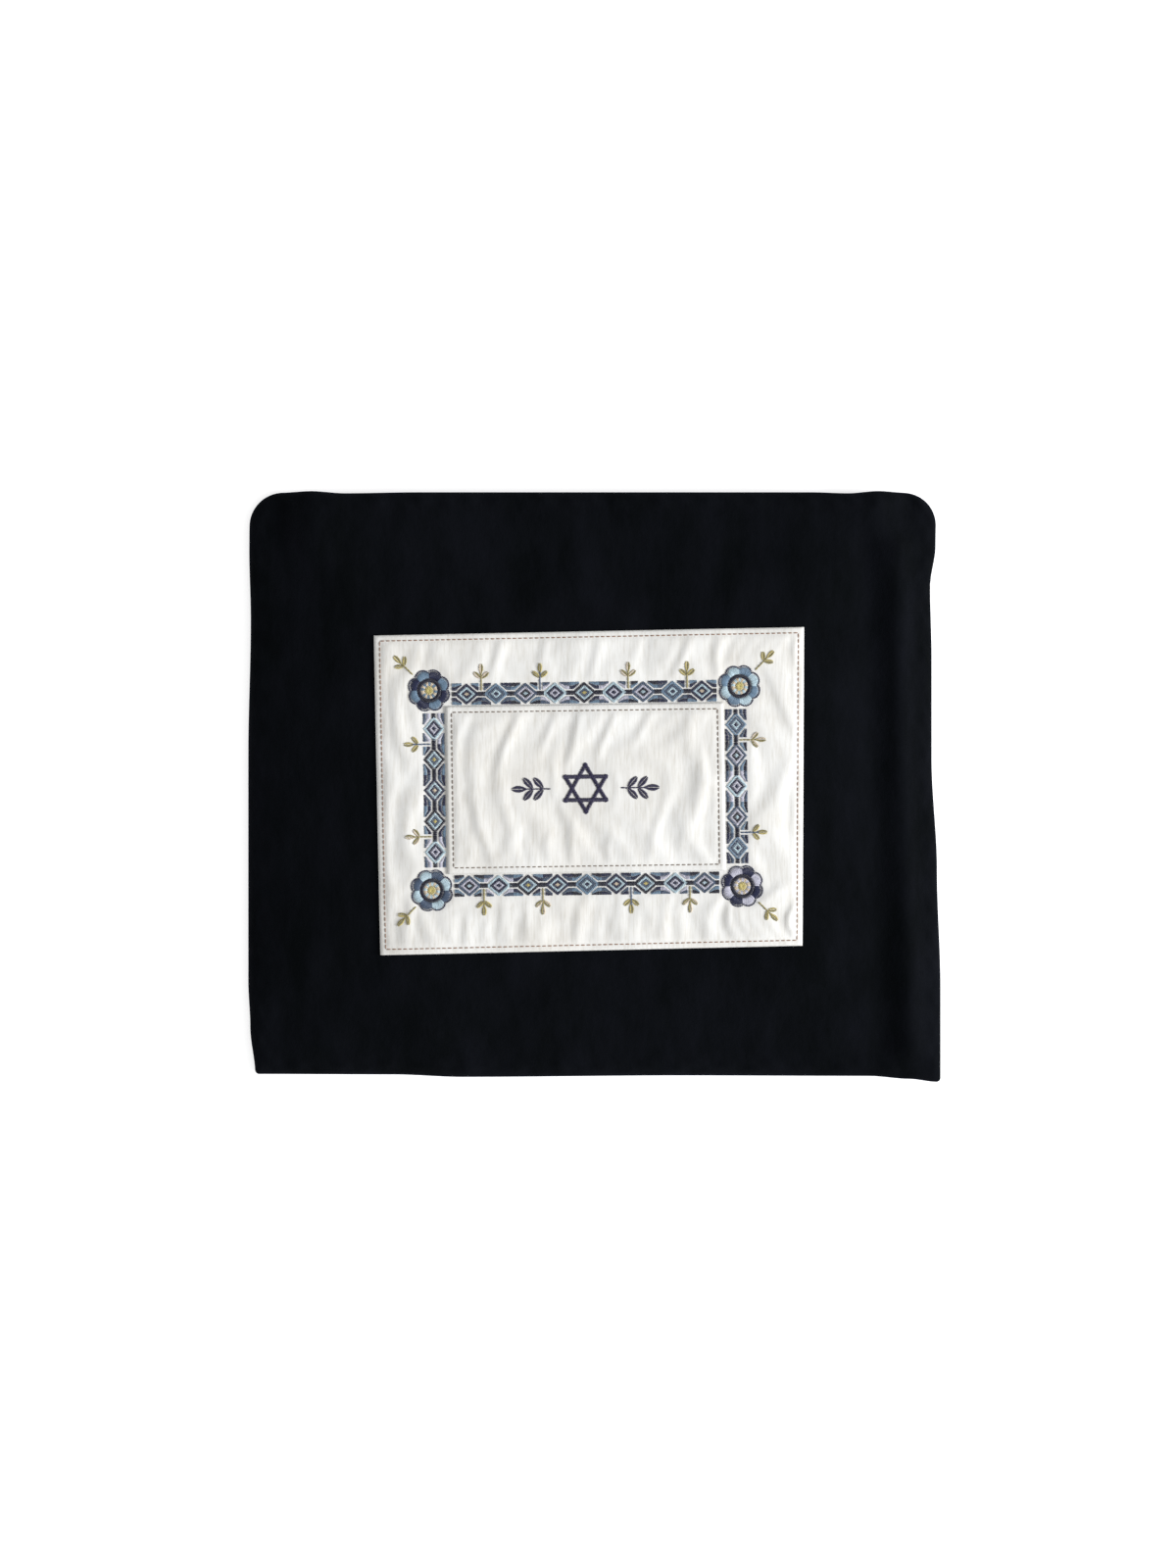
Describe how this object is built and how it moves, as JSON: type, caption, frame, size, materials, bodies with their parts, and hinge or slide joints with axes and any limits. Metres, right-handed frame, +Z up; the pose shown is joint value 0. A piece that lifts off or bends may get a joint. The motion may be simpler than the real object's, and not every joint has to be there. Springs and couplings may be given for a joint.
{
  "type": "tallit bag",
  "caption": "Flat velvet pouch with a hidden zip along its top edge and a light embroidered patch on its face, lying on its back.",
  "frame": {"origin": "On the table under the middle of the pouch's outline", "axes": "+X to the right across the pouch, +Y up its face towards the zip, +Z up from the table, out of the face"},
  "size_m": [0.3524, 0.3006, 0.0257],
  "materials": {
    "velvet": "very dark navy cotton velvet, matt with a faint blue sheen at its turned edges",
    "patch_cloth": "cream raw silk, softly creased",
    "blue_thread": "satin stitches in navy, steel blue, light blue and lilac grey",
    "navy_thread": "navy satin stitches",
    "gold_thread": "olive and old gold satin stitches",
    "zip_tape": "woven navy tape",
    "zip_coil": "navy nylon coils",
    "slider_metal": "nickel-plated die casting"
  },
  "bodies": {
    "root": {"back_panel": "velvet", "centre_panel": "patch_cloth", "centre_sprig_left": "navy_thread", "centre_sprig_right": "navy_thread", "chain_bottom": "blue_thread", "chain_left": "blue_thread", "chain_right": "blue_thread", "chain_top": "blue_thread", "front_panel": "velvet", "patch": "patch_cloth", "rosette_bottom_left": "blue_thread", "rosette_bottom_right": "blue_thread", "rosette_top_left": "blue_thread", "rosette_top_right": "blue_thread", "sprig_bottom_1": "gold_thread", "sprig_bottom_2": "gold_thread", "sprig_bottom_3": "gold_thread", "sprig_bottom_4": "gold_thread", "sprig_bottom_left": "gold_thread", "sprig_bottom_right": "gold_thread", "sprig_left_1": "gold_thread", "sprig_left_2": "gold_thread", "sprig_right_1": "gold_thread", "sprig_right_2": "gold_thread", "sprig_top_1": "gold_thread", "sprig_top_2": "gold_thread", "sprig_top_3": "gold_thread", "sprig_top_4": "gold_thread", "sprig_top_left": "gold_thread", "sprig_top_right": "gold_thread", "star": "navy_thread", "zip_chain": "zip_coil", "zip_slider": "slider_metal", "zip_tape_back": "zip_tape", "zip_tape_front": "zip_tape"}
  },
  "joints": []
}
